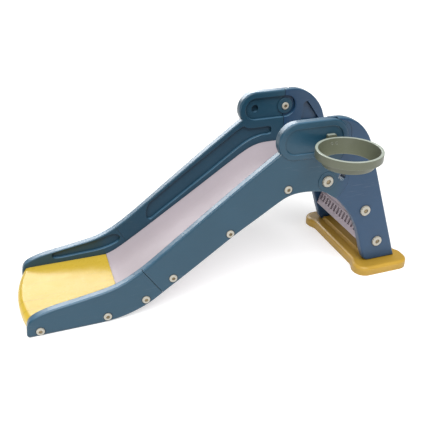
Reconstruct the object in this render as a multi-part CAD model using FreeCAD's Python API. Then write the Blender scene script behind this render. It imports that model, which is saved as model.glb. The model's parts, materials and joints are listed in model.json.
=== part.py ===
import FreeCAD, Part
import math
import os

# A folding slide for toddlers: two moulded side rails carry a two-piece chute with a small
# platform at its top, and a ladder with two steps and a wide base hinges on the rails' heads.
# A ball hoop is screwed to the left head.
#
# Sizes are in millimetres. Side profiles are (x, z) pairs: x runs along the floor from the
# nose of the slide towards the ladder, z is the height above the floor. Depths are measured
# inwards from the outer face of the left side wall. Everything is moved at the end so that
# the origin lies on the floor, on the middle plane, under the middle of the base.

WIDTH = 395.0              # outer face of the left wall to outer face of the right wall
HALF = WIDTH / 2
WALL = 32.0                # thickness of a rail or of a ladder side
ORIGIN_X = 1380.0          # from the nose to the middle of the base

PIVOT = (1100.0, 430.0)    # axis on which the ladder folds
NECK_R = 45.0              # round end of the ladder's neck about the pivot
BOSS_R = 36.0              # round boss on the outside of the rail
BOSS_OUT = 3.0             # the boss stands out from the rail
NUT_R = 12.0
PIVOT_SHAFT_R = 6.0
SHIELD_R = 88.0            # the rail's outer layer covers the ladder's neck out to here
SIGHT_HOLE = (1160.0, 437.0)   # round hole right through rail and ladder
SIGHT_HOLE_R = 14.5
LAP = 14.0                 # outer layer of the rail where it laps over the ladder
LAP_GAP = 0.6              # free play between the two layers
SEAM_GAP = 1.4             # visible gap between rail and ladder
TONGUE_GAP = 2.4           # wider gap in front of the ladder's tongue
DISC_ROOM = 3.0            # room round the ladder's disc inside the rail
FIT = 0.1                  # radial clearance of a turning or sliding shaft
OUTER_EDGE = 8.0           # rounding of a wall's outer edges
INNER_EDGE = 5.0           # rounding of a wall's inner edges
SOFT_EDGE = 2.0            # rounding of small fittings
NUT_GAP = 0.4              # between the wall and the pivot nut
NUT_HEIGHT = 6.0

HEAD_R = 69.0              # the head is a long rounded shape about two centres
HEAD_FRONT = (967.0, 597.0)
HEAD_REAR = (1096.0, 597.0)
HEAD_BULGE = 5.0           # the head's rim stands proud of the rail
HEAD_EDGE = 8.0            # rounding of the head's rim
HEAD_FACE_R = 47.5         # sunk face inside the rim
HEAD_POCKET_R = 43.0       # pocket in the inner face of the head
FINGER_HOLE_R = 15.0       # blind hole in the head's pocket
POCKET = 12.0              # depth of the pockets in the inner faces
POCKET_FLOOR = WALL - POCKET
POCKET_EDGE = 3.5          # rounding of the pockets' edges
TONGUE_X = 1090.8          # front edge of the ladder's tongue inside the head

LOCK_R = 4.0               # lock bolt
LOCK_DISC_R = 32.0         # clamp plate over the seam between head and tongue
LOCK_DISC = 5.0
LOCK_SLOT = 4.6            # half width of the tongue's slot for the lock bolt
INSERT_R = 8.0             # metal sleeve for the lock bolt
INSERT_START = 2.0
INSERT_END = 13.0

CHUTE_SIDE = 32.6          # depth of the chute's edge: it runs just clear of the walls
SHELL = 5.0                # wall of the chute mouldings
SKIRT = 36.0               # height of the chute's side skirts
CHUTE_SEAM = 326.0         # the lower and the upper chute meet here
CHUTE_GAP = 0.6            # each chute stops this far from the seam
CHUTE_LOW = 53.0           # top of the lower chute
CHUTE_BOW = 28.0           # the front lip bows forward by this much
CHUTE_ROLL = 24.0          # radius of the rolled lip
LIP_LOW = 9.0              # lower edge of the lip
PLATFORM = 456.0           # top of the platform
PLATFORM_END = 1140.0
PLATFORM_ROLL = 12.0
PLATFORM_LOW = 428.0       # lower edge of the platform's turned-down end
CHUTE_BOSS_R = 8.0         # bosses for the rail screws
CHUTE_BOSS = 14.0
SCREW_BITE = 12.0          # depth of a screw in its boss
RIB = 4.0                  # thickness of a cross rib under the chute
LOWER_RIBS = (90, 180, 290)
LOWER_RIB_LOW = 22.0
UPPER_RIBS = ((430, 100), (560, 184), (690, 269), (820, 356), (935, 428))
UPPER_RIB_HEIGHT = 24.0

RAIL_SCREWS = [(38, 21), (270, 25), (411, 65), (514, 135), (729, 278), (946, 419)]
LOWER_SCREWS = 2           # the first two hold the lower chute, the others the upper chute
RAIL_SCREW_R = 3.0
LADDER_BOLTS = [(1280, 277), (1355, 126)]
LADDER_BOLT_R = 4.0
CAP_R = 14.5               # small caps on the rails
CAP_OUT = 6.0
BIG_CAP_R = 20.5           # ribbed caps on pivot and ladder
BIG_CAP_OUT = 8.0
CAP_SEAT = 1.5             # each cap sits in a shallow round recess
SEAT_MARGIN = 3.5
CAP_EDGE = 3.0
BIG_CAP_EDGE = 3.5
SCALLOPS = 12              # round the rim of a large cap
SCALLOP_R = 2.8
SCALLOP_OUT = 1.2          # centres of the scallops outside the rim
SCREW_HEAD_R = 6.8
SCREW_SINK = 2.6           # the head lies this far below the cap's top
SCREW_HEAD = 2.2
SLOT_DEPTH = 1.2           # cross slot in a screw head
SLOT_ARM = 4.5
SLOT_HALF = 1.1
BOLT_HEAD_R = 9.0
BOLT_SINK = 3.2
BOLT_HEAD = 4.0
BUTTON_R = 5.0             # raised middle of a bolt head
BUTTON = 0.8
BOLT_LENGTH = 60.0         # ladder bolts, from the outer face inwards

TREADS = [(187.0, 1388.0, 57.0), (322.0, 1341.0, 54.0)]   # height, front edge, depth of body
STEP_LEAN = 0.37           # the back of a step leans towards its tread
STEP_BACK = 14.0           # thickness of the back, with the grooves in it
STEP_NOSE = 30.0           # turned-down front of a tread
STEP_TURN = 4.0            # rounding between back and tread
STEP_NOSE_R = 7.0
STEP_INSET = 3.0           # the back's foot lies this far behind the sides' front edge
GROOVES = 14
GROOVE_WIDTH = 12.5
GROOVE_DEPTH = 10.0
GROOVE_SIDE = 8.0          # plain margins round the grooves
GROOVE_BELOW = 20.0
GROOVE_ABOVE = 9.0
GRIP_LINES = 5             # shallow lines across a tread
GRIP_HALF = 2.0
GRIP_DEPTH = 1.2
GRIP_MARGIN = 12.0
STEP_BOSS_R = 10.0
STEP_BOSS = 30.0
WEB_HALF = 2.0

BASE_LENGTH = 236.0
BASE_WIDTH = 495.0
BASE_TOP = 38.0
BASE_EDGE = 13.0           # rounding of the base's rim
BASE_CORNER = 46.0
BASE_WAIST = 16.0          # the middle is narrower than the ends by this much on each side
BASE_SKIN = 6.0
LEDGE_TOP = 52.0           # raised tread on the base
BASE_SCREWS = (1350, 1420)
BASE_SCREW_HEAD_R = 6.0
BASE_SCREW_HEAD = 4.0
BASE_SCREW_R = 2.5
BASE_SCREW = 30.0
BASE_BITE = 12.0           # depth of a screw in the base
BASE_FRONT = ORIGIN_X - BASE_LENGTH / 2
BASE_REAR = ORIGIN_X + BASE_LENGTH / 2

HOOP_Y = -322.5            # centre of the hoop
HOOP_X = 1094.0
HOOP_R = 112.0
HOOP_TOP = 604.5
HOOP_BOTTOM = 552.0
HOOP_RIM = 10.0            # width of the rim
HOOP_BAND_LOW = 577.0      # the straight band ends here, the tapered skirt begins
SKIRT_TOP_R = 97.0
SKIRT_LOW_R = 88.0
SKIRT_WALL = 4.0
BRACKET_OUT = 13.0
BRACKET_HALF = 17.0
BRACKET_LOW = 556.0
BRACKET_TOP = 613.0
HOOP_SCREW_Z = 588.0
HOOP_SCREW_X = 9.0         # the two screws, to either side of the hoop's middle
HOOP_SCREW_R = 2.2
HOOP_SCREW_HEAD_R = 4.0
HOOP_SCREW_HEAD = 3.0
HOOP_SEAT_R = 100.0        # the screws' heads sit this far from the hoop's middle
HOOP_SCREW_END = 1.6


def vec(x, y, z):
    return FreeCAD.Vector(x, y, z)


def outline(runs, y=0.0):
    """Closed wire in the plane of a side wall: two points make a straight line, three an arc,
    more a smooth curve, closed if it ends where it starts. Each run starts where the one
    before it ends."""
    edges = []
    for run in runs:
        points = [vec(x, y, z) for x, z in run]
        if len(points) == 2:
            edges.append(Part.LineSegment(points[0], points[1]).toShape())
        elif len(points) == 3:
            edges.append(Part.Arc(points[0], points[1], points[2]).toShape())
        else:
            curve = Part.BSplineCurve()
            loop = run[0] == run[-1]
            curve.interpolate(points[:-1] if loop else points, PeriodicFlag=loop)
            edges.append(curve.toShape())
    return Part.Wire(edges)


def closed(points):
    """Straight-sided outline through the points."""
    return [[points[i], points[(i + 1) % len(points)]] for i in range(len(points))]


def prism(runs, depth_0, depth_1):
    """Side profile made solid between two depths in the left wall."""
    face = Part.Face(outline(runs, depth_0 - HALF))
    return face.extrude(vec(0, depth_1 - depth_0, 0))


def bar(points, depth_0, depth_1):
    return prism(closed(points), depth_0, depth_1)


def pin(centre, radius, depth_0, depth_1):
    """Round bar across the wall."""
    start = vec(centre[0], depth_0 - HALF, centre[1])
    return Part.makeCylinder(radius, depth_1 - depth_0, start, vec(0, 1, 0))


def stadium(front, rear, radius):
    """Outline of two half rounds joined by straight lines."""
    return [
        [(front[0], front[1] - radius), (front[0] - radius, front[1]), (front[0], front[1] + radius)],
        [(front[0], front[1] + radius), (rear[0], rear[1] + radius)],
        [(rear[0], rear[1] + radius), (rear[0] + radius, rear[1]), (rear[0], rear[1] - radius)],
        [(rear[0], rear[1] - radius), (front[0], front[1] - radius)],
    ]


def polar(centre, radius, degrees):
    """Point on a circle in the side view, from the +X direction towards +Z."""
    angle = math.radians(degrees)
    return (centre[0] + radius * math.cos(angle), centre[1] + radius * math.sin(angle))


def face_edges(shape, depth, wanted):
    """Edges that lie in one face of the wall and whose middle passes the test."""
    found = []
    for edge in shape.Edges:
        box = edge.BoundBox
        flat = abs(box.YMin - (depth - HALF)) < 0.01 and abs(box.YMax - (depth - HALF)) < 0.01
        if flat and wanted(box.Center.x, box.Center.z):
            found.append(edge)
    return found


def mirrored(shape):
    return shape.mirror(vec(0, 0, 0), vec(0, 1, 0))


def joined(shapes):
    result = shapes[0]
    for shape in shapes[1:]:
        result = result.fuse(shape)
    return result.removeSplitter()


# ---------------------------------------------------------------- side profiles

NOSE_R = 12.0
NOSE_X = -8.5              # foremost point of the rail
RAIL_TOP = [
    (NOSE_X, NOSE_R), (-6.5, 28), (-3.5, 44), (0.5, 56), (7, 66), (16, 73.5), (29, 80.5),
    (46, 87), (72, 94.5), (105, 101), (151, 107.5), (232, 120.5), (300, 135), (357, 159),
    (409, 190), (486, 245.5), (551, 294.5), (616, 343.5), (680, 391.5), (743, 438.5),
    (825, 498), (915, 563),
]
RAIL_UNDER = [
    (1096, 385.2), (1070, 390), (1042, 393.5), (994, 395.5), (954, 389), (916, 371), (879, 348),
    (841, 324), (765, 277), (690, 226), (614, 173), (538, 121), (477, 80), (423, 45), (386, 28),
    (348, 15), (312, 6.5), (270, 1.2), (230, 0),
]
HEAD_SEAM = [
    (1128, 655), (1157, 647), (1172, 627), (1177, 597), (1171, 562), (1156, 531),
    (1141.3, 507.7),
]
CHIN = (1142.7, 353.0)     # the seam meets the front edge of the ladder here
RAIL_SEAM_WIDE = 1.3       # each rail stops this far from the seam outside,
RAIL_SEAM_NARROW = 0.6     # and this far inside
RAIL_SEAM_OUTER = [(398, 200), (482, 68)]
RAIL_SEAM_INNER = [(360, 200), (444, 38)]

LOWER_POCKET = [
    (128, 98), (176, 105.5), (257, 118), (312, 128), (355, 139), (372, 138), (384, 130),
    (388, 118), (383, 106), (370, 98), (336, 86), (300, 79), (253, 76), (190, 74), (132, 74),
    (120, 78), (116, 87), (119, 95),
]
UPPER_POCKET = [
    (519, 256), (604, 318), (688, 378), (772, 436), (856, 494), (905, 526), (918, 530),
    (929, 524), (943, 519.5), (965, 519), (1000, 519), (1026, 519), (1036, 514), (1038, 504),
    (1037, 494), (1028, 488.5), (1010, 488), (985, 485), (942, 471), (900, 447), (857, 417),
    (772, 356), (686, 297), (601, 238), (532, 190), (518, 183), (508, 187), (503, 204),
    (508, 235),
]

LADDER_FOOT = 1452.0       # rear corner of the ladder side on the base
LADDER_REAR = [
    (TONGUE_X, 666.5), (1112, 666.8), (1138, 665), (1166, 658), (1194, 645), (1221, 624),
    (1245, 597), (1265, 563),
]
BACK_LINE = [(1285, 112), (1261, 186), (1232, 246), (1204, 286), (1166, 331), (1125, 372)]
LADDER_FRONT = [
    (1328, 38), (1312, 46), (1301, 66), (1285, 112), (1261, 186), (1232, 246), (1204, 286),
    (1166, 331), (1143, 353),
]
HAND_POCKET_DEPTH = 15.0
HAND_POCKET = [
    [(1176, 583), (1179, 604), (1194, 610)],
    [(1194, 610), (1249, 534)],
    [(1249, 534), (1247, 526), (1238, 523)],
    [(1238, 523), (1176, 528)],
    [(1176, 528), (1169, 531), (1167, 539)],
    [(1167, 539), (1176, 583)],
]


def rail_outline():
    """The rail without its head."""
    inside = HEAD_FRONT[1] + 30
    rear_x = RAIL_UNDER[0][0]
    return [
        RAIL_TOP,
        [RAIL_TOP[-1], (HEAD_FRONT[0], inside)],
        [(HEAD_FRONT[0], inside), (rear_x, inside)],
        [(rear_x, inside), RAIL_UNDER[0]],
        RAIL_UNDER,
        [RAIL_UNDER[-1], (NOSE_X + NOSE_R, 0)],
        [(NOSE_X + NOSE_R, 0), polar((NOSE_X + NOSE_R, NOSE_R), NOSE_R, 225), RAIL_TOP[0]],
    ]


def flank_outline():
    """Thin layer of the rail that laps over the ladder, from the head down to the pivot."""
    inside = (HEAD_FRONT[0] + 110, HEAD_FRONT[1] + 40)
    low = (inside[0], PIVOT[1] - 38)
    return [
        HEAD_SEAM,
        [HEAD_SEAM[-1], (PIVOT[0] + SHIELD_R, PIVOT[1]), CHIN],
        [CHIN, RAIL_UNDER[0]],
        [RAIL_UNDER[0], low],
        [low, inside],
        [inside, HEAD_SEAM[0]],
    ]


def ladder_outline():
    disc_low = polar(PIVOT, NECK_R, -27)
    disc_top = (TONGUE_X, PIVOT[1] + math.sqrt(NECK_R ** 2 - (TONGUE_X - PIVOT[0]) ** 2))
    return [
        LADDER_REAR,
        [LADDER_REAR[-1], (LADDER_FOOT, BASE_TOP)],
        [(LADDER_FOOT, BASE_TOP), LADDER_FRONT[0]],
        LADDER_FRONT,
        [LADDER_FRONT[-1], disc_low],
        [disc_low, polar(PIVOT, NECK_R, 200), disc_top],
        [disc_top, LADDER_REAR[0]],
    ]


# ---------------------------------------------------------------- caps, screws and bolts


def between(depth, outward, low, high):
    """Two depths, measured outwards from a face, in rising order."""
    return sorted((depth + outward * low, depth + outward * high))


def small_cap(centre, face, outward, shank_r):
    """Domed collar round a screw head; outward is -1 on an outer face and 1 on an inner one."""
    cap = pin(centre, CAP_R, *between(face, outward, 0, CAP_OUT))
    top = face + outward * CAP_OUT
    cap = cap.makeFillet(CAP_EDGE, face_edges(cap, top, lambda x, z: True))
    well = pin(centre, SCREW_HEAD_R + FIT, *between(top, outward, -SCREW_SINK - SCREW_HEAD, 1))
    return cap.cut(well).cut(pin(centre, shank_r + FIT, *between(face, outward, -1, CAP_OUT)))


def screw(centre, face, outward, shank_r, shank_low):
    """Screw with a cross slot, sunk in a small cap; the shank starts at shank_low."""
    under = face + outward * (CAP_OUT - SCREW_SINK - SCREW_HEAD)
    head = pin(centre, SCREW_HEAD_R, *between(under, outward, 0, SCREW_HEAD))
    slot = between(under, outward, SCREW_HEAD - SLOT_DEPTH, SCREW_HEAD + 1)
    x, z = centre
    for half_x, half_z in ((SLOT_ARM, SLOT_HALF), (SLOT_HALF, SLOT_ARM)):
        head = head.cut(bar([(x - half_x, z - half_z), (x + half_x, z - half_z),
                             (x + half_x, z + half_z), (x - half_x, z + half_z)], *slot))
    shank = pin(centre, shank_r, *sorted((under + outward * 0.5, shank_low)))
    return head.fuse(shank).removeSplitter()


def ribbed_cap(centre, face):
    """Large cap with scallops round its rim and a well for the bolt's head."""
    top = face - BIG_CAP_OUT
    cap = pin(centre, BIG_CAP_R, top, face + CAP_SEAT)
    cap = cap.makeFillet(BIG_CAP_EDGE, face_edges(cap, top, lambda x, z: True))
    for i in range(SCALLOPS):
        spot = polar(centre, BIG_CAP_R + SCALLOP_OUT, 360.0 * i / SCALLOPS)
        cap = cap.cut(pin(spot, SCALLOP_R, top - 1, face - CAP_SEAT))
    cap = cap.cut(pin(centre, BOLT_HEAD_R + FIT, top - 1, top + BOLT_SINK + BOLT_HEAD))
    return cap.cut(pin(centre, PIVOT_SHAFT_R + FIT, top, face + CAP_SEAT + 1))


def bolt(centre, face, shank_r, shank_end):
    """Hexagon bolt whose head lies in a large cap."""
    under = face - BIG_CAP_OUT + BOLT_SINK + BOLT_HEAD
    corners = [polar(centre, BOLT_HEAD_R, 60.0 * i) for i in range(6)]
    head = bar(corners, under - BOLT_HEAD, under)
    head = head.fuse(pin(centre, BUTTON_R, under - BOLT_HEAD - BUTTON, under))
    return head.fuse(pin(centre, shank_r, under - 1, shank_end)).removeSplitter()


def rail_caps():
    return [small_cap(spot, CAP_SEAT, -1, RAIL_SCREW_R) for spot in RAIL_SCREWS]


def rail_screws():
    return [screw(spot, CAP_SEAT, -1, RAIL_SCREW_R, CHUTE_SIDE + SCREW_BITE)
            for spot in RAIL_SCREWS]


def ladder_caps():
    return [ribbed_cap(spot, 0) for spot in LADDER_BOLTS]


def ladder_bolts():
    return [bolt(spot, 0, LADDER_BOLT_R, BOLT_LENGTH) for spot in LADDER_BOLTS]


def pivot_bolt():
    return bolt(PIVOT, -BOSS_OUT, PIVOT_SHAFT_R, WALL + NUT_HEIGHT - 1.0)


def pivot_nut():
    top = WALL + NUT_GAP + NUT_HEIGHT
    nut = pin(PIVOT, NUT_R, WALL + NUT_GAP, top)
    nut = nut.makeFillet(SOFT_EDGE, face_edges(nut, top, lambda x, z: True))
    return nut.cut(pin(PIVOT, PIVOT_SHAFT_R, 0, WALL + NUT_HEIGHT - 1.0))


def lock_disc():
    """Round clamp plate over the seam between the head and the ladder's tongue."""
    top = POCKET_FLOOR + LOCK_DISC
    disc = pin(HEAD_REAR, LOCK_DISC_R, POCKET_FLOOR, top)
    disc = disc.makeFillet(SOFT_EDGE, face_edges(disc, top, lambda x, z: True))
    return disc.cut(pin(HEAD_REAR, LOCK_R + FIT / 2, 0, WALL))


def lock_knob():
    return small_cap(HEAD_REAR, POCKET_FLOOR + LOCK_DISC, 1, LOCK_R)


def lock_bolt():
    return screw(HEAD_REAR, POCKET_FLOOR + LOCK_DISC, 1, LOCK_R, 4.0)


def lock_insert():
    """Threaded metal sleeve moulded into the head."""
    sleeve = pin(HEAD_REAR, INSERT_R, INSERT_START, INSERT_END)
    return sleeve.cut(pin(HEAD_REAR, LOCK_R + FIT / 2, INSERT_START, INSERT_END))


# ---------------------------------------------------------------- side rails

def head_pocket_rim(shape):
    """Edges round the head's pocket, in the inner face."""
    rim = []
    for edge in face_edges(shape, WALL, lambda x, z: True):
        spot = edge.valueAt((edge.FirstParameter + edge.LastParameter) / 2)
        past = max(HEAD_FRONT[0] - spot.x, 0.0, spot.x - HEAD_REAR[0])
        if abs(math.hypot(past, spot.z - HEAD_REAR[1]) - HEAD_POCKET_R) < 0.5:
            rim.append(edge)
    return rim


def whole_rail():
    """Rail from nose to head in one piece, before it is split into its two mouldings."""
    rail = prism(rail_outline(), 0, WALL)

    rail = rail.makeFillet(OUTER_EDGE, face_edges(rail, 0, lambda x, z: x < 700 and z < 560))
    rail = rail.makeFillet(INNER_EDGE, face_edges(rail, WALL, lambda x, z: x < 500 and z > 200))

    head = prism(stadium(HEAD_FRONT, HEAD_REAR, HEAD_R), -HEAD_BULGE, WALL)
    head = head.makeFillet(HEAD_EDGE, face_edges(head, -HEAD_BULGE, lambda x, z: True))
    head = head.makeFillet(HEAD_EDGE, face_edges(head, WALL, lambda x, z: True))
    rail = rail.fuse(head).fuse(prism(flank_outline(), 0, LAP))
    disc = pin(PIVOT, BOSS_R, -BOSS_OUT, 1.0)
    disc = disc.makeFillet(SOFT_EDGE, face_edges(disc, -BOSS_OUT, lambda x, z: True))
    rail = rail.fuse(disc)

    face = prism(stadium(HEAD_FRONT, HEAD_REAR, HEAD_FACE_R), -HEAD_BULGE - 1, 0)
    face = face.makeFillet(HEAD_BULGE - 0.5, face_edges(face, 0, lambda x, z: True))
    rail = rail.cut(face)
    rail = rail.cut(prism(stadium(HEAD_FRONT, HEAD_REAR, HEAD_POCKET_R), POCKET_FLOOR, WALL))
    rail = rail.makeFillet(POCKET_EDGE, head_pocket_rim(rail))
    rail = rail.cut(pin(HEAD_FRONT, FINGER_HOLE_R, 5.0, WALL))

    tongue_front = TONGUE_X - TONGUE_GAP
    tongue_room = [(tongue_front, 380), (1300, 380), (1300, 700), (tongue_front, 700)]
    rail = rail.cut(bar(tongue_room, LAP, WALL))
    rail = rail.cut(pin(PIVOT, NECK_R + DISC_ROOM, LAP, WALL))
    rail = rail.cut(pin(PIVOT, PIVOT_SHAFT_R + FIT / 2, -BOSS_OUT, WALL))
    rail = rail.cut(pin(PIVOT, BIG_CAP_R + SEAT_MARGIN, -BOSS_OUT - 1, CAP_SEAT - BOSS_OUT))
    rail = rail.cut(pin(SIGHT_HOLE, SIGHT_HOLE_R, -BOSS_OUT, LAP))

    for pocket, edge in ((LOWER_POCKET, 2.5), (UPPER_POCKET, POCKET_EDGE)):
        rail = rail.cut(prism([pocket + pocket[:1]], POCKET_FLOOR, WALL))
        low_x, high_x = min(pocket)[0] - 2, max(pocket)[0] + 2
        rim = [e for e in face_edges(rail, WALL, lambda x, z: low_x < x < high_x)
               if e.BoundBox.XLength > 0.9 * (high_x - low_x - 4) and e.isClosed()]
        rail = rail.makeFillet(edge, rim)
    return rail


def beside_seam(seam, depth_0, depth_1, nose_side, gap):
    """Big block on one side of a slanted seam."""
    (x0, z0), (x1, z1) = seam
    far = -200.0 if nose_side else 1400.0
    return bar([(x0 + gap, z0), (x1 + gap, z1), (x1 + gap, -60), (far, -60), (far, 800),
                (x0 + gap, 800)], depth_0, depth_1)


def rails():
    rail = whole_rail()
    for spot in RAIL_SCREWS:
        rail = rail.cut(pin(spot, CAP_R + SEAT_MARGIN, -1, CAP_SEAT))
        rail = rail.cut(pin(spot, RAIL_SCREW_R + FIT, 0, WALL))
    rail = rail.cut(lock_insert()).cut(pin(HEAD_REAR, LOCK_R + FIT / 2, INSERT_START, WALL))
    for fixing in hoop_screws():
        rail = rail.cut(fixing)
    half = WALL / 2
    wide, narrow = RAIL_SEAM_WIDE, RAIL_SEAM_NARROW
    lower_space = beside_seam(RAIL_SEAM_OUTER, -1, half, True, -wide).fuse(
        beside_seam(RAIL_SEAM_INNER, half, WALL + 1, True, -narrow))
    upper_space = beside_seam(RAIL_SEAM_OUTER, -20, half, False, wide).fuse(
        beside_seam(RAIL_SEAM_INNER, half, WALL + 1, False, narrow))
    return rail.common(lower_space), rail.common(upper_space)


# ---------------------------------------------------------------- chute

UPPER_SURFACE = [
    (326.6, 55), (348, 62), (401, 90), (501, 153), (600, 218), (686, 274), (772, 331),
    (858, 388), (900, 415), (943, 439), (986, 453), (1030, 456), (1062, 456),
]


def lowered(points, drop):
    return [(x, z - drop) for x, z in points]


def across(runs):
    return prism(runs, CHUTE_SIDE, WIDTH - CHUTE_SIDE)


def chute_upper():
    top = UPPER_SURFACE
    under = lowered(top, SHELL + 1.0)
    end = PLATFORM_END
    roll = (end - PLATFORM_ROLL, PLATFORM - PLATFORM_ROLL)
    inner = under[-1][1]
    skin = across([
        top,
        [top[-1], (roll[0], PLATFORM)],
        [(roll[0], PLATFORM), polar(roll, PLATFORM_ROLL, 45), (end, roll[1])],
        [(end, roll[1]), (end, PLATFORM_LOW)],
        [(end, PLATFORM_LOW), (end - SHELL, PLATFORM_LOW)],
        [(end - SHELL, PLATFORM_LOW), (end - SHELL, inner)],
        [(end - SHELL, inner), under[-1]],
        list(reversed(under)),
        [under[0], top[0]],
    ])
    parts = [skin]
    skirt_top = lowered(top[:11], 3.0)
    skirt_low = lowered(top[:11], SKIRT)
    skirt_low[0] = (skirt_low[0][0], 12.0)
    skirt_runs = [
        skirt_top,
        [skirt_top[-1], skirt_low[-1]],
        list(reversed(skirt_low)),
        [skirt_low[0], skirt_top[0]],
    ]
    for start in (CHUTE_SIDE, WIDTH - CHUTE_SIDE - SHELL):
        parts.append(prism(skirt_runs, start, start + SHELL))
    for x, z in UPPER_RIBS:
        low = z - UPPER_RIB_HEIGHT
        rib = [(x, z + 4), (x + RIB, z + 5), (x + RIB, low), (x, low)]
        parts.append(bar(rib, CHUTE_SIDE + 1, WIDTH - CHUTE_SIDE - 1))
    return finish_chute(parts, RAIL_SCREWS[LOWER_SCREWS:])


def finish_chute(parts, screws):
    """Adds the screw bosses to both skirts and drills them."""
    for spot in screws:
        boss = pin(spot, CHUTE_BOSS_R, CHUTE_SIDE, CHUTE_SIDE + CHUTE_BOSS)
        parts.append(boss)
        parts.append(mirrored(boss))
    chute = joined(parts)
    for spot in screws:
        hole = pin(spot, RAIL_SCREW_R + FIT, CHUTE_SIDE, CHUTE_SIDE + SCREW_BITE)
        chute = chute.cut(hole).cut(mirrored(hole))
    return chute


def chute_lower():
    """Level run-out with a bowed lip that rolls down at the front."""
    top, bow, roll = CHUTE_LOW, CHUTE_BOW, CHUTE_ROLL
    end = CHUTE_SEAM - CHUTE_GAP
    half_width = HALF - CHUTE_SIDE
    bow_r = (half_width ** 2 + bow ** 2) / (2 * bow)
    centre_x = bow_r - bow

    plate = Part.makeBox(
        end + bow, 2 * half_width, SHELL, vec(-bow, -half_width, top - SHELL))
    plate = plate.common(Part.makeCylinder(bow_r - roll, 100, vec(centre_x, 0, 0)).fuse(
        Part.makeBox(300, 2 * half_width, 100, vec(CHUTE_SEAM - 300, -half_width, 0))))

    low = LIP_LOW
    inner = roll - SHELL
    section = [
        [(-bow_r + roll, top), polar((-bow_r + roll, top - roll), roll, 135), (-bow_r, top - roll)],
        [(-bow_r, top - roll), (-bow_r, low)],
        [(-bow_r, low), (-bow_r + SHELL, low)],
        [(-bow_r + SHELL, low), (-bow_r + SHELL, top - roll)],
        [(-bow_r + SHELL, top - roll),
         polar((-bow_r + roll, top - roll), inner, 135),
         (-bow_r + roll, top - SHELL)],
        [(-bow_r + roll, top - SHELL), (-bow_r + roll, top)],
    ]
    spread = math.degrees(math.asin(half_width / bow_r)) + 3.0
    lip = Part.Face(outline(section))
    lip.rotate(vec(0, 0, 0), vec(0, 0, 1), -spread)
    lip = lip.revolve(vec(0, 0, 0), vec(0, 0, 1), 2 * spread)
    lip.translate(vec(centre_x, 0, 0))
    lip = lip.common(Part.makeBox(120, 2 * half_width, 100, vec(-60, -half_width, 0)))

    parts = [plate, lip]
    skirt = [(10, top - 2), (end, top - 2), (end, 12), (10, LIP_LOW)]
    for start in (CHUTE_SIDE, WIDTH - CHUTE_SIDE - SHELL):
        parts.append(bar(skirt, start, start + SHELL))
    for x in LOWER_RIBS:
        rib = [(x, top - 2), (x + RIB, top - 2), (x + RIB, LOWER_RIB_LOW), (x, LOWER_RIB_LOW)]
        parts.append(bar(rib, CHUTE_SIDE + 1, WIDTH - CHUTE_SIDE - 1))
    return finish_chute(parts, RAIL_SCREWS[:LOWER_SCREWS])


# ---------------------------------------------------------------- ladder

def ladder_side():
    whole = prism(ladder_outline(), 0, WALL)

    def rounded(x, z):
        return (x > 1105 and z > 480) or x > 1180

    whole = whole.makeFillet(OUTER_EDGE, face_edges(whole, 0, rounded))
    whole = whole.makeFillet(INNER_EDGE, face_edges(whole, WALL, rounded))

    seam = [(x + SEAM_GAP, z) for x, z in HEAD_SEAM]
    low = 380
    notch_x = HEAD_REAR[0] + 22.0
    head_room = [
        [(1000, 700), (notch_x, 700)],
        [(notch_x, 700), (notch_x, seam[0][1] - 5)],
        [(notch_x, seam[0][1] - 5), seam[0]],
        seam,
        [seam[-1], (seam[-1][0], low)],
        [(seam[-1][0], low), (1000, low)],
        [(1000, low), (1000, 700)],
    ]
    whole = whole.cut(prism(head_room, -1, LAP + LAP_GAP))
    round_end = stadium(HEAD_FRONT, HEAD_REAR, HEAD_R + SEAM_GAP)
    whole = whole.cut(prism(round_end, -1, LAP + LAP_GAP))
    whole = whole.cut(pin(PIVOT, SHIELD_R + SEAM_GAP / 2, -1, LAP + LAP_GAP))
    whole = whole.cut(pin(PIVOT, PIVOT_SHAFT_R + FIT, 0, WALL))
    whole = whole.cut(pin(SIGHT_HOLE, SIGHT_HOLE_R, 0, WALL))
    whole = whole.cut(prism(stadium(HEAD_FRONT, HEAD_REAR, HEAD_POCKET_R), POCKET_FLOOR, WALL))
    whole = whole.makeFillet(POCKET_EDGE, head_pocket_rim(whole))

    slot_end, slot_z = HEAD_REAR
    slot = [(1000, slot_z - LOCK_SLOT), (slot_end, slot_z - LOCK_SLOT),
            (slot_end, slot_z + LOCK_SLOT), (1000, slot_z + LOCK_SLOT)]
    whole = whole.cut(bar(slot, 0, WALL)).cut(pin(HEAD_REAR, LOCK_SLOT, 0, WALL))

    whole = whole.cut(prism(HAND_POCKET, WALL - HAND_POCKET_DEPTH, WALL))
    for spot in LADDER_BOLTS:
        whole = whole.cut(pin(spot, BIG_CAP_R + SEAT_MARGIN, -1, CAP_SEAT))
        whole = whole.cut(pin(spot, LADDER_BOLT_R + FIT, 0, WALL))
    for fixing in base_screws():
        whole = whole.cut(fixing)
    return whole


def back_x(z):
    """Front edge of the ladder sides at a height, where the steps' backs lie."""
    for (x0, z0), (x1, z1) in zip(BACK_LINE, BACK_LINE[1:]):
        if z0 <= z <= z1:
            return x0 + (x1 - x0) * (z - z0) / (z1 - z0)
    return BACK_LINE[0][0]


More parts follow.
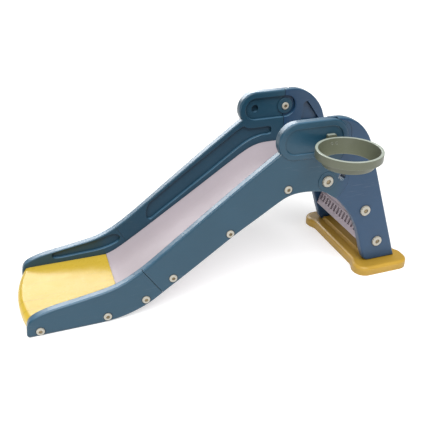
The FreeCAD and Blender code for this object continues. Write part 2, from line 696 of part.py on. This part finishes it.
def step(tread_z, tread_front, height, fixing):
    """Moulded step: tread with a turned-down front, and a leaning back with upright grooves."""
    low = tread_z - height
    foot = back_x(low) + STEP_INSET

    def back(z, deeper=0.0):
        return (foot + STEP_LEAN * (z - low) + deeper, z)

    turn, nose_r = STEP_TURN, STEP_NOSE_R
    inner = tread_z - SHELL
    nose_low = tread_z - STEP_NOSE
    body = prism([
        [back(low), back(tread_z - turn)],
        [back(tread_z - turn), back(tread_z - 1.2, 1.2), (back(tread_z)[0] + turn, tread_z)],
        [(back(tread_z)[0] + turn, tread_z), (tread_front - nose_r, tread_z)],
        [(tread_front - nose_r, tread_z),
         polar((tread_front - nose_r, tread_z - nose_r), nose_r, 45),
         (tread_front, tread_z - nose_r)],
        [(tread_front, tread_z - nose_r), (tread_front, nose_low)],
        [(tread_front, nose_low), (tread_front - SHELL, nose_low)],
        [(tread_front - SHELL, nose_low), (tread_front - SHELL, inner)],
        [(tread_front - SHELL, inner), back(inner, STEP_BACK)],
        [back(inner, STEP_BACK), back(low, STEP_BACK)],
        [back(low, STEP_BACK), back(low)],
    ], WALL, WIDTH - WALL)

    panel_low, panel_high = low + GROOVE_BELOW, tread_z - GROOVE_ABOVE
    pitch = (WIDTH - 2 * (WALL + GROOVE_SIDE) - GROOVE_WIDTH) / (GROOVES - 1)
    for i in range(GROOVES):
        start = WALL + GROOVE_SIDE + i * pitch
        groove = [back(panel_low, -9), back(panel_low, GROOVE_DEPTH),
                  back(panel_high, GROOVE_DEPTH), back(panel_high, -9)]
        body = body.cut(bar(groove, start, start + GROOVE_WIDTH))

    first = back(tread_z)[0] + 16.0
    last = tread_front - nose_r - 8.0
    for i in range(GRIP_LINES):
        x = first + i * (last - first) / (GRIP_LINES - 1)
        line = [(x - GRIP_HALF, tread_z - GRIP_DEPTH), (x + GRIP_HALF, tread_z - GRIP_DEPTH),
                (x + GRIP_HALF, tread_z + 1), (x - GRIP_HALF, tread_z + 1)]
        body = body.cut(bar(line, WALL + GRIP_MARGIN, WIDTH - WALL - GRIP_MARGIN))

    x, z = fixing
    boss = pin(fixing, STEP_BOSS_R, WALL, WALL + STEP_BOSS)
    web = bar([(x - WEB_HALF, z), (x + WEB_HALF, z), (x + WEB_HALF, tread_z - 2),
               (x - WEB_HALF, tread_z - 2)], WALL, WALL + STEP_BOSS)
    moulding = joined([body, boss, mirrored(boss), web, mirrored(web)])
    hole = pin(fixing, LADDER_BOLT_R + FIT, 0, BOLT_LENGTH)
    return moulding.cut(hole).cut(mirrored(hole))


def base_screws():
    """Screws that come up through the base into one side of the ladder."""
    made = []
    y = WALL / 2 - HALF
    low = BASE_TOP - BASE_BITE
    for x in BASE_SCREWS:
        head = Part.makeCylinder(BASE_SCREW_HEAD_R, BASE_SCREW_HEAD, vec(x, y, low))
        shank = Part.makeCylinder(BASE_SCREW_R, BASE_SCREW, vec(x, y, low + BASE_SCREW_HEAD))
        made.append(head.fuse(shank).removeSplitter())
    return made


def base():
    """Wide foot: a shallow moulding, waisted in the middle, with a raised tread."""
    half = BASE_WIDTH / 2
    front, rear = BASE_FRONT, BASE_REAR
    waist, corner = BASE_WAIST, BASE_CORNER

    def mid(x, y):
        return vec(x, y, 0)

    def straight(a, b):
        return Part.LineSegment(mid(*a), mid(*b)).toShape()

    def arc(a, b, c):
        return Part.Arc(mid(*a), mid(*b), mid(*c)).toShape()

    def bend(x0, y0, x1, y1):
        """Two arcs that lead from one straight edge to another one parallel to it."""
        dx, dy = (x1 - x0) / 2, (y1 - y0) / 2
        radius = (dx * dx + dy * dy) / (2 * abs(dx))
        turn = math.asin(abs(dy) / radius) / 2
        side, rise = radius * (1 - math.cos(turn)), radius * math.sin(turn)
        side = math.copysign(side, dx)
        rise = math.copysign(rise, dy)
        return [
            arc((x0, y0), (x0 + side, y0 + rise), (x0 + dx, y0 + dy)),
            arc((x0 + dx, y0 + dy), (x1 - side, y1 - rise), (x1, y1)),
        ]

    k = corner * (1 - math.sqrt(0.5))
    pad, middle = half - corner, 142.0
    rear_pad, rear_middle = 182.0, 136.0
    wire = Part.Wire([
        arc((front + corner, -half), (front + k, k - half), (front, -pad)),
        *bend(front, -pad, front + waist, -middle),
        straight((front + waist, -middle), (front + waist, middle)),
        *bend(front + waist, middle, front, pad),
        arc((front, pad), (front + k, half - k), (front + corner, half)),
        straight((front + corner, half), (rear - corner, half)),
        arc((rear - corner, half), (rear - k, half - k), (rear, pad)),
        straight((rear, pad), (rear, rear_pad)),
        *bend(rear, rear_pad, rear - waist, rear_middle),
        straight((rear - waist, rear_middle), (rear - waist, -rear_middle)),
        *bend(rear - waist, -rear_middle, rear, -rear_pad),
        straight((rear, -rear_pad), (rear, -pad)),
        arc((rear, -pad), (rear - k, k - half), (rear - corner, -half)),
        straight((rear - corner, -half), (front + corner, -half)),
    ])
    body = Part.Face(wire).extrude(vec(0, 0, BASE_TOP))
    rim = [e for e in body.Edges if e.BoundBox.ZMin > BASE_TOP - 0.01]
    body = body.makeFillet(BASE_EDGE, rim)

    tread_low, tread_high = BASE_TOP - 1, LEDGE_TOP
    ledge = bar([(1318, tread_low), (1324, tread_high), (1432, tread_high), (1438, tread_low)],
                WALL + 2, WIDTH - WALL - 2)
    long_edges = [e for e in ledge.Edges if e.BoundBox.ZMin > tread_high - 0.01]
    body = body.fuse(ledge.makeFillet(4.0, long_edges))

    ceiling = BASE_TOP - BASE_SKIN
    for x0, x1 in ((front + 24, ORIGIN_X - 3), (ORIGIN_X + 3, rear - 24)):
        for y0, y1 in ((-half + 14, -205), (-199, -138), (-132, -3), (3, 132), (138, 199),
                       (205, half - 14)):
            top = ceiling - BASE_SKIN if 138 <= abs(y0 + y1) / 2 <= 199 else ceiling
            body = body.cut(Part.makeBox(x1 - x0, y1 - y0, top + 1, vec(x0, y0, -1)))
    for fixing in base_screws():
        body = body.cut(fixing).cut(mirrored(fixing))
    return body.removeSplitter()


# ---------------------------------------------------------------- ball hoop

def hoop_ring():
    """Ring with a straight band outside, a tapered inside and a skirt below."""
    section = [
        (HOOP_R - HOOP_RIM, HOOP_TOP), (HOOP_R, HOOP_TOP), (HOOP_R, HOOP_BAND_LOW),
        (SKIRT_TOP_R, HOOP_BAND_LOW), (SKIRT_LOW_R, HOOP_BOTTOM),
        (SKIRT_LOW_R - SKIRT_WALL, HOOP_BOTTOM),
    ]
    ring = Part.Face(outline(closed(section)))
    ring = ring.revolve(vec(0, 0, 0), vec(0, 0, 1), 360)
    ring.translate(vec(HOOP_X, HOOP_Y, 0))
    rims = [e for e in ring.Edges if e.BoundBox.ZMin > HOOP_TOP - 0.01]
    ring = ring.makeFillet(SOFT_EDGE, rims)
    for dx in (-HOOP_SCREW_X, HOOP_SCREW_X):
        seat = hoop_screw_seat(dx)
        spot = (HOOP_X + dx, HOOP_SCREW_Z)
        ring = ring.cut(pin(spot, HOOP_SCREW_HEAD_R + FIT, seat - 15, seat))
    for fixing in hoop_screws():
        ring = ring.cut(fixing)
    return ring


def hoop_bracket():
    """Tab that carries the ring on the sunk face of the left head."""
    half = BRACKET_HALF
    plate = bar([(HOOP_X - half, BRACKET_LOW), (HOOP_X + half, BRACKET_LOW),
                 (HOOP_X + half, BRACKET_TOP), (HOOP_X - half, BRACKET_TOP)], -22, 0)
    upright = [e for e in plate.Edges if abs(e.BoundBox.XLength) < 0.01
               and abs(e.BoundBox.ZLength) < 0.01]
    plate = plate.makeFillet(INNER_EDGE, upright)
    plate = plate.cut(Part.makeCylinder(HOOP_R, 100, vec(HOOP_X, HOOP_Y, 540)))
    top_trim = Part.makeBox(2 * half, 30, 30, vec(HOOP_X - half, -HALF - BRACKET_OUT - 30, 590))
    plate = plate.cut(top_trim)
    for fixing in hoop_screws():
        plate = plate.cut(fixing)
    return plate


def hoop_screw_seat(dx):
    """Depth of the seat of a hoop screw's head, sunk in the tapered inside of the ring."""
    return HOOP_Y + math.sqrt(HOOP_SEAT_R ** 2 - dx ** 2) + HALF


def hoop_screws():
    made = []
    for dx in (-HOOP_SCREW_X, HOOP_SCREW_X):
        spot = (HOOP_X + dx, HOOP_SCREW_Z)
        seat = hoop_screw_seat(dx)
        head = pin(spot, HOOP_SCREW_HEAD_R, seat - HOOP_SCREW_HEAD, seat)
        shank = pin(spot, HOOP_SCREW_R, seat - 1, HOOP_SCREW_END)
        made.append(head.fuse(shank).removeSplitter())
    return made


# ---------------------------------------------------------------- write the parts

def group(shapes):
    return Part.makeCompound(shapes)


def both_sides(name, shapes):
    """The same pieces on the left and, mirrored, on the right."""
    return {
        name + "_left": group(shapes),
        name + "_right": group([mirrored(shape) for shape in shapes]),
    }


def build():
    lower, upper = rails()
    feet = base_screws()

    # the right wall carries no hoop, so it has no holes for the hoop's screws
    plug = [pin((HOOP_X + dx, HOOP_SCREW_Z), HOOP_SCREW_R, 0, HOOP_SCREW_END)
            for dx in (-HOOP_SCREW_X, HOOP_SCREW_X)]
    upper_right = mirrored(upper.fuse(group(plug)).removeSplitter())

    return {
        **both_sides("rail_lower", [lower]),
        "rail_upper_left": upper,
        "rail_upper_right": upper_right,
        "chute_lower": chute_lower(),
        "chute_upper": chute_upper(),
        **both_sides("rail_caps", rail_caps()),
        **both_sides("rail_screws", rail_screws()),
        **both_sides("pivot_cap", [ribbed_cap(PIVOT, -BOSS_OUT)]),
        **both_sides("pivot_bolt", [pivot_bolt()]),
        **both_sides("pivot_nut", [pivot_nut()]),
        **both_sides("lock_insert", [lock_insert()]),
        **both_sides("lock_disc", [lock_disc()]),
        **both_sides("lock_knob", [lock_knob()]),
        **both_sides("lock_bolt", [lock_bolt()]),
        **both_sides("ladder_side", [ladder_side()]),
        "step_lower": step(*TREADS[0], LADDER_BOLTS[1]),
        "step_upper": step(*TREADS[1], LADDER_BOLTS[0]),
        **both_sides("ladder_caps", ladder_caps()),
        **both_sides("ladder_bolts", ladder_bolts()),
        "base": base(),
        "base_screws": group(feet + [mirrored(foot) for foot in feet]),
        "hoop_ring": hoop_ring(),
        "hoop_bracket": hoop_bracket(),
        "hoop_screws": group(hoop_screws()),
    }


os.makedirs("parts", exist_ok=True)
for name, shape in build().items():
    shape.translate(vec(-ORIGIN_X, 0, 0))
    shape.exportStep("parts/" + name + ".step")
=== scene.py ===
import json
import math

import bpy
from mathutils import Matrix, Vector

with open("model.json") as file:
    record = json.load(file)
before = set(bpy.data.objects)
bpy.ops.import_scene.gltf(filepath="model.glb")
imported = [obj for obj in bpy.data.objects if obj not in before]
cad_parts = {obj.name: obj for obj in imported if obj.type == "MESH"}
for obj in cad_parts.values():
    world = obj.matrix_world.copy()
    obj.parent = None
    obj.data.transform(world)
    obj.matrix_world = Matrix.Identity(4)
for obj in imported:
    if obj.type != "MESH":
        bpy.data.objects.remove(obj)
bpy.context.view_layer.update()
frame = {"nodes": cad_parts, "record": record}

# ---------------------------------------------------------------- colours


def linear(value):
    """One sRGB channel, 0 to 255, as linear light."""
    v = value / 255.0
    return v / 12.92 if v <= 0.04045 else ((v + 0.055) / 1.055) ** 2.4


def rgb(red, green, blue):
    return (linear(red), linear(green), linear(blue), 1.0)


RAIL = rgb(30, 69, 89)
LADDER = rgb(29, 64, 95)
BLUE_TOP_HIGHLIGHT = rgb(73, 112, 138)       # painted highlight on upward faces of both blues
LILAC = rgb(186, 175, 181)
YELLOW = rgb(213, 181, 64)
OCHRE = rgb(190, 150, 50)
SAGE = rgb(93, 97, 79)
# painted highlight on the hoop's upward faces
SAGE_TOP_HIGHLIGHT = rgb(180, 189, 176)
CREAM = rgb(176, 172, 160)
ZINC, ZINC_STAIN = rgb(176, 178, 180), rgb(140, 141, 143)
BRONZED, BRONZED_STAIN = rgb(160, 144, 116), rgb(112, 98, 78)
FLOOR_DARK, FLOOR_LIGHT = rgb(222, 222, 222), rgb(226, 226, 226)
BLACK = (0, 0, 0, 1)
WHITE = (1, 1, 1, 1)

# The rail's blue turns into the ladder's over this stretch of x, just behind the pivot.
PIVOT_X = -0.28
BLUE_TURN = (PIVOT_X + 0.03, PIVOT_X + 0.08)

# ---------------------------------------------------------------- noise: scale, detail, roughness

CLOUD = (7.0, 4.0, 0.55)
SPECK = (420.0, 2.0, 0.6)
PATCH = (5.0, 2.0, 0.5)
GLOSS = (18.0, 3.0, 0.6)
WAVE = (26.0, 1.0)
PEBBLE = (900.0, 2.0, 0.6)
LINES = (1.0, 2.0, 0.5)
LINES_STRETCH = (2.5, 150, 2.5)      # runs along the chute
SCRATCH = (1.0, 3.0, 0.7)
SCRATCH_STRETCH = (14, 60, 340)
SCRATCH_TURN = (0.3, 0.5, 0.2)
BRUSHED = (1.0, 3.0, 0.6)
BRUSHED_STRETCH = (60, 60, 900)
STAIN = (60.0, 4.0, 0.6)
FLOOR_CLOUD = (1.5, 2.0)

# ---------------------------------------------------------------- plastic: ranges and amounts

MIDDLE_RANGE = (0.3, 0.7)            # of a noise, from its darkest to its lightest
LINES_RANGE = (0.60, 0.72)
SPECK_RANGE = (0.64, 0.85)
SPECK_AMOUNT = 0.10
SCRATCH_RANGE = (0.60, 0.74)
SCUFF_PATCHES = (0.45, 0.7)
WORN_AND_HIGHLIT_PATCHES = (0.25, 0.6)
WORN_AND_HIGHLIT_LEAST = 0.4
WORN_AND_HIGHLIT_OPEN = (0.55, 0.85)           # edges deep in grooves get neither wear nor painted highlight
EDGE_RANGE = (0.995, 0.75)           # cosine between the true and the rounded normal
PALE_MIX, PALE_ADD = 0.6, 0.30       # the colour of scuffs, and of edges lightened as wear and painted highlight
GLOSS_BELOW, GLOSS_ABOVE = 0.05, 0.07
SCUFF_ROUGH = 0.14
PLASTIC_IOR = 1.5

# Bumps: strength, distance in metres.
WAVE_BUMP = (0.12, 0.004)
PEBBLE_BUMP = (0.22, 0.0004)
SCRATCH_BUMP = (0.03, 0.0004)
LINES_BUMP = (0.25, 0.0008)

# ---------------------------------------------------------------- metal: ranges and amounts

STAIN_RANGE = (0.35, 0.7)
BRUSHED_RANGE = (0.2, 0.8)
METAL_ROUGH = (0.3, 0.52)
BRUSHED_BUMP = (0.2, 0.0003)

# ---------------------------------------------------------------- materials


class Nodes:
    """Short calls for building a material's nodes."""

    def __init__(self, name):
        self.material = bpy.data.materials.new(name)
        self.material.use_nodes = True
        self.tree = self.material.node_tree
        self.tree.nodes.clear()
        self.out = self.add("ShaderNodeOutputMaterial")
        self.shader = self.add("ShaderNodeBsdfPrincipled")
        self.link(self.shader.outputs[0], self.out.inputs[0])
        self.place = self.add("ShaderNodeTexCoord").outputs["Object"]

    def add(self, kind, **values):
        node = self.tree.nodes.new(kind)
        for key, value in values.items():
            setattr(node, key, value)
        return node

    def link(self, source, target):
        self.tree.links.new(source, target)

    def put(self, socket, value):
        """Sets a socket to a constant, or links an output to it."""
        if isinstance(value, (int, float, tuple)):
            socket.default_value = value
        else:
            self.link(value, socket)

    def settings(self, **values):
        """Constants on the shader's own sockets; Coat_Weight means Coat Weight."""
        for key, value in values.items():
            self.shader.inputs[key.replace("_", " ")].default_value = value

    def stretched(self, scale, turn=(0, 0, 0)):
        mapping = self.add("ShaderNodeMapping")
        mapping.inputs["Scale"].default_value = scale
        mapping.inputs["Rotation"].default_value = turn
        self.link(self.place, mapping.inputs["Vector"])
        return mapping.outputs[0]

    def noise(self, scale, detail=2.0, rough=0.5, source=None):
        node = self.add("ShaderNodeTexNoise")
        node.inputs["Scale"].default_value = scale
        node.inputs["Detail"].default_value = detail
        node.inputs["Roughness"].default_value = rough
        self.link(source or self.place, node.inputs["Vector"])
        return node.outputs["Fac"]

    def ramp(self, source, low, high, dark=0.0, light=1.0):
        """source from low to high becomes dark to light, and stays there beyond."""
        node = self.add("ShaderNodeMapRange")
        node.inputs["From Min"].default_value = low
        node.inputs["From Max"].default_value = high
        node.inputs["To Min"].default_value = dark
        node.inputs["To Max"].default_value = light
        self.link(source, node.inputs["Value"])
        return node.outputs["Result"]

    def math(self, operation, first, second):
        node = self.add("ShaderNodeMath", operation=operation)
        for socket, value in zip(node.inputs, (first, second)):
            self.put(socket, value)
        return node.outputs[0]

    def times(self, first, second):
        return self.math("MULTIPLY", first, second)

    def mix(self, factor, first, second, blend="MIX"):
        node = self.add("ShaderNodeMix", data_type="RGBA", blend_type=blend)
        self.put(node.inputs["Factor"], factor)
        for key, value in (("A", first), ("B", second)):
            self.put([s for s in node.inputs if s.name == key and s.type == "RGBA"][0], value)
        return [s for s in node.outputs if s.type == "RGBA"][0]

    def axis(self, vector, name):
        """One coordinate of a vector."""
        parts = self.add("ShaderNodeSeparateXYZ")
        self.link(vector, parts.inputs[0])
        return parts.outputs[name]

    def upward(self):
        """The piece's own normal's z: 1 on faces that look up when the slide stands."""
        return self.axis(self.add("ShaderNodeTexCoord").outputs["Normal"], "Z")

    def edge(self, radius):
        """About 0 on flat faces, rising towards 1 along sharp edges."""
        bevel = self.add("ShaderNodeBevel", samples=4)
        bevel.inputs["Radius"].default_value = radius
        geometry = self.add("ShaderNodeNewGeometry")
        dot = self.add("ShaderNodeVectorMath", operation="DOT_PRODUCT")
        self.link(bevel.outputs[0], dot.inputs[0])
        self.link(geometry.outputs["Normal"], dot.inputs[1])
        return self.ramp(dot.outputs["Value"], *EDGE_RANGE)

    def openness(self, reach):
        """1 on open surfaces, falling towards 0 deep in corners and grooves."""
        node = self.add("ShaderNodeAmbientOcclusion", samples=6)
        node.inputs["Distance"].default_value = reach
        return node.outputs["AO"]

    def bump(self, height, strength, distance, normal=None):
        node = self.add("ShaderNodeBump")
        node.inputs["Strength"].default_value = strength
        node.inputs["Distance"].default_value = distance
        self.link(height, node.inputs["Height"])
        if normal is not None:
            self.link(normal, node.inputs["Normal"])
        return node.outputs[0]


def moulded(name, colour, rough=0.33, grain=0.6, mottle=0.05, scuffs=0.2, edge_wear_and_highlight=0.12,
            edge_radius=0.003, painted_corner_shade=0.45, reach=0.02, spec=0.5, streaks=0.0,
            becomes=None, top_highlight=None, highlight_facing=(0.55, 0.95)):
    """Moulded plastic: cloudy colour, fine grain, slow waviness, faint scuffs, edges lightened as
    rubbed wear and painted highlight, and painted shade in corners. becomes is (colour, x from,
    x to), a colour it turns into. top_highlight is the colour of a painted highlight on upward
    faces, and highlight_facing is where their normal's z begins and ends to count.
    painted_corner_shade is how much darker the painted shade makes corners, and reach how wide,
    in metres. edge_wear_and_highlight is how much edges are lightened."""
    n = Nodes(name)
    body = colour
    if becomes is not None:
        new_colour, x_from, x_to = becomes
        body = n.mix(n.ramp(n.axis(n.place, "X"), x_from, x_to), colour, new_colour)
    # painted highlight: faces that look up turn a lighter colour, as if lit from above
    if top_highlight is not None:
        body = n.mix(n.ramp(n.upward(), *highlight_facing), body, top_highlight)

    corner = n.openness(reach)
    tone_and_shade = n.ramp(n.noise(*CLOUD), *MIDDLE_RANGE, 1.0 - mottle, 1.0 + mottle)
    # painted shade: corners and grooves turn darker by how closed in they are
    tone_and_shade = n.times(tone_and_shade, n.ramp(corner, 0.0, 1.0, 1.0 - painted_corner_shade, 1.0))
    if streaks > 0.0:
        lines = n.noise(*LINES, n.stretched(LINES_STRETCH))
        tone_and_shade = n.times(tone_and_shade, n.ramp(lines, *LINES_RANGE, 1.0, 1.0 - streaks))
    body = n.mix(1.0, body, tone_and_shade, "MULTIPLY")

    pale = tuple(min(1.0, c * PALE_MIX + PALE_ADD) for c in colour[:3]) + (1.0,)
    body = n.mix(n.ramp(n.noise(*SPECK), *SPECK_RANGE, 0.0, SPECK_AMOUNT), body, pale)
    scratch = n.noise(*SCRATCH, n.stretched(SCRATCH_STRETCH, SCRATCH_TURN))
    patch = n.noise(*PATCH)
    scuff = n.times(n.ramp(scratch, *SCRATCH_RANGE), n.ramp(patch, *SCUFF_PATCHES))
    body = n.mix(n.times(scuff, scuffs), body, pale)
    # edges lightened: partly rubbed wear, partly a painted highlight along rims and top edges
    worn_and_highlit_edges = n.times(n.edge(edge_radius), n.ramp(patch, *WORN_AND_HIGHLIT_PATCHES, WORN_AND_HIGHLIT_LEAST, 1.0))
    worn_and_highlit_edges = n.times(worn_and_highlit_edges, n.ramp(corner, *WORN_AND_HIGHLIT_OPEN))
    body = n.mix(n.times(worn_and_highlit_edges, edge_wear_and_highlight), body, pale)
    n.link(body, n.shader.inputs["Base Color"])

    gloss = n.ramp(n.noise(*GLOSS), *MIDDLE_RANGE, rough - GLOSS_BELOW, rough + GLOSS_ABOVE)
    gloss = n.math("ADD", gloss, n.times(scuff, SCUFF_ROUGH))
    n.link(gloss, n.shader.inputs["Roughness"])

    relief = n.bump(n.noise(*WAVE), *WAVE_BUMP)
    pebble_strength, pebble_distance = PEBBLE_BUMP
    relief = n.bump(n.noise(*PEBBLE), pebble_strength * grain, pebble_distance, relief)
    relief = n.bump(scratch, *SCRATCH_BUMP, relief)
    if streaks > 0.0:
        relief = n.bump(lines, *LINES_BUMP, relief)
    n.link(relief, n.shader.inputs["Normal"])
    n.settings(IOR=PLASTIC_IOR, Specular_IOR_Level=spec)
    return n.material


def metal(name, bright, dull):
    """Plated metal: brushed one way, with cloudy stains."""
    n = Nodes(name)
    grain = n.noise(*BRUSHED, n.stretched(BRUSHED_STRETCH))
    stain = n.ramp(n.noise(*STAIN), *STAIN_RANGE)
    n.link(n.mix(stain, bright, dull), n.shader.inputs["Base Color"])
    n.link(n.ramp(grain, *BRUSHED_RANGE, *METAL_ROUGH), n.shader.inputs["Roughness"])
    n.link(n.bump(grain, *BRUSHED_BUMP), n.shader.inputs["Normal"])
    n.settings(Metallic=1.0)
    return n.material


# One look for each material slot of the record.
looks = {
    "rail_blue": moulded("rail_blue_moulded", RAIL, becomes=(LADDER, *BLUE_TURN),
                         top_highlight=BLUE_TOP_HIGHLIGHT),
    "ladder_blue": moulded("ladder_blue_moulded", LADDER, top_highlight=BLUE_TOP_HIGHLIGHT),
    "chute_yellow": moulded("chute_yellow_moulded", YELLOW, rough=0.27, grain=0.3, mottle=0.03,
                            painted_corner_shade=0.2, spec=0.27, streaks=0.3),
    "lilac_grey": moulded("lilac_grey_moulded", LILAC, rough=0.42, grain=0.5, mottle=0.03,
                          painted_corner_shade=0.2, spec=0.22, streaks=0.03),
    "cap_cream": moulded("cap_cream_moulded", CREAM, rough=0.4, edge_radius=0.001,
                         painted_corner_shade=0.8, reach=0.004),
    "base_ochre": moulded("base_ochre_moulded", OCHRE, rough=0.42, painted_corner_shade=0.5, reach=0.06),
    "hoop_sage": moulded("hoop_sage_moulded", SAGE, rough=0.34, edge_wear_and_highlight=0.3,
                         edge_radius=0.004, spec=0.6, top_highlight=SAGE_TOP_HIGHLIGHT, highlight_facing=(0.5, 0.9)),
    "steel": metal("zinc_steel", ZINC, ZINC_STAIN),
    "passivated_steel": metal("passivated_steel", BRONZED, BRONZED_STAIN),
}

slots = {p["node"]: p["material_slot"] for p in frame["record"]["subparts"]}
for node_name, node in frame["nodes"].items():
    node.data.materials.clear()
    node.data.materials.append(looks[slots[node_name]])

# ---------------------------------------------------------------- floor and surround

FLOOR_HALF = 30.0
FLOOR_GLOW = 0.46
SURROUND_RADIUS = 28.0
SURROUND_HEIGHT = 60.0
SURROUND_BELOW = -1.0
SURROUND_SIDES = 64


def plain_mesh(name, verts, faces, material):
    mesh = bpy.data.meshes.new(name)
    mesh.from_pydata(verts, [], faces)
    mesh.materials.append(material)
    thing = bpy.data.objects.new(name, mesh)
    bpy.context.scene.collection.objects.link(thing)
    return thing


def pale_floor():
    n = Nodes("pale_floor")
    n.link(n.mix(n.noise(*FLOOR_CLOUD), FLOOR_DARK, FLOOR_LIGHT), n.shader.inputs["Base Color"])
    n.settings(Roughness=0.8, Specular_IOR_Level=0.2, Emission_Color=WHITE,
               Emission_Strength=FLOOR_GLOW)
    return n.material


def glowing_white():
    n = Nodes("surround_white")
    n.settings(Base_Color=BLACK, Specular_IOR_Level=0.0, Emission_Color=WHITE,
               Emission_Strength=1.0)
    return n.material


floor_corners = [(x * FLOOR_HALF, y * FLOOR_HALF, 0)
                 for x, y in ((-1, -1), (1, -1), (1, 1), (-1, 1))]
floor = plain_mesh("floor", floor_corners, [(0, 1, 2, 3)], pale_floor())

# A far round wall that only the camera sees, so that no horizon shows.
turns = [2 * math.pi * i / SURROUND_SIDES for i in range(SURROUND_SIDES)]
wall_corners = [(SURROUND_RADIUS * math.cos(turn), SURROUND_RADIUS * math.sin(turn), z)
                for z in (SURROUND_BELOW, SURROUND_HEIGHT) for turn in turns]
wall_faces = [(i, (i + 1) % SURROUND_SIDES, SURROUND_SIDES + (i + 1) % SURROUND_SIDES,
               SURROUND_SIDES + i) for i in range(SURROUND_SIDES)]
wall = plain_mesh("surround", wall_corners, wall_faces, glowing_white())
for ray in ("diffuse", "glossy", "transmission", "volume_scatter", "shadow"):
    setattr(wall, "visible_" + ray, False)

# ---------------------------------------------------------------- light

MIDDLE = (-0.6, 0.0, 0.3)
OVERHEAD_PLACE = (-1.3, -1.9, 3.4)
OVERHEAD_SPREAD = 55
OVERHEAD_STRENGTH = 3.1
BACK_PLACE = (-0.8, 3.2, 2.3)
BACK_WIDTH, BACK_HEIGHT = 4.0, 2.0
BACK_POWER = 210
SKY_STRENGTH = 0.3


def turned(thing, direction):
    """Turns a light or camera so that it looks along direction."""
    thing.rotation_mode = "QUATERNION"
    thing.rotation_quaternion = direction.to_track_quat("-Z", "Y")


def light(name, kind, place, energy):
    """A light aimed at the middle of the slide, which the camera doesn't see."""
    lamp = bpy.data.objects.new(name, bpy.data.lights.new(name, kind))
    lamp.data.energy = energy
    lamp.location = place
    lamp.visible_camera = False
    turned(lamp, Vector(MIDDLE) - Vector(place))
    bpy.context.scene.collection.objects.link(lamp)
    return lamp


overhead = light("overhead", "SUN", OVERHEAD_PLACE, OVERHEAD_STRENGTH)
overhead.data.angle = math.radians(OVERHEAD_SPREAD)

# Seen in reflections only: the sheen on the chute and the rails' top edges.
sheen = light("back", "AREA", BACK_PLACE, BACK_POWER)
sheen.data.shape = "RECTANGLE"
sheen.data.size = BACK_WIDTH
sheen.data.size_y = BACK_HEIGHT
sheen.visible_diffuse = False

world = bpy.data.worlds.new("studio")
world.use_nodes = True
sky = world.node_tree.nodes["Background"]
sky.inputs["Color"].default_value = WHITE
sky.inputs["Strength"].default_value = SKY_STRENGTH
bpy.context.scene.world = world
bpy.context.scene.view_settings.view_transform = "Standard"

# ---------------------------------------------------------------- camera

SENSOR = 36.0
LENS = 48.03
CAMERA_PLACE = (-1.267, -1.8025, 1.316)
AZIMUTH = math.radians(-18.7)        # from straight at the left side, towards the nose
ELEVATION = math.radians(28.8)

camera_data = bpy.data.cameras.new("camera")
camera_data.sensor_width = SENSOR
camera_data.lens = LENS
camera = bpy.data.objects.new("camera", camera_data)
camera.location = CAMERA_PLACE
turned(camera, -Vector((math.sin(AZIMUTH) * math.cos(ELEVATION),
                        -math.cos(AZIMUTH) * math.cos(ELEVATION), math.sin(ELEVATION))))
bpy.context.scene.collection.objects.link(camera)
bpy.context.scene.camera = camera
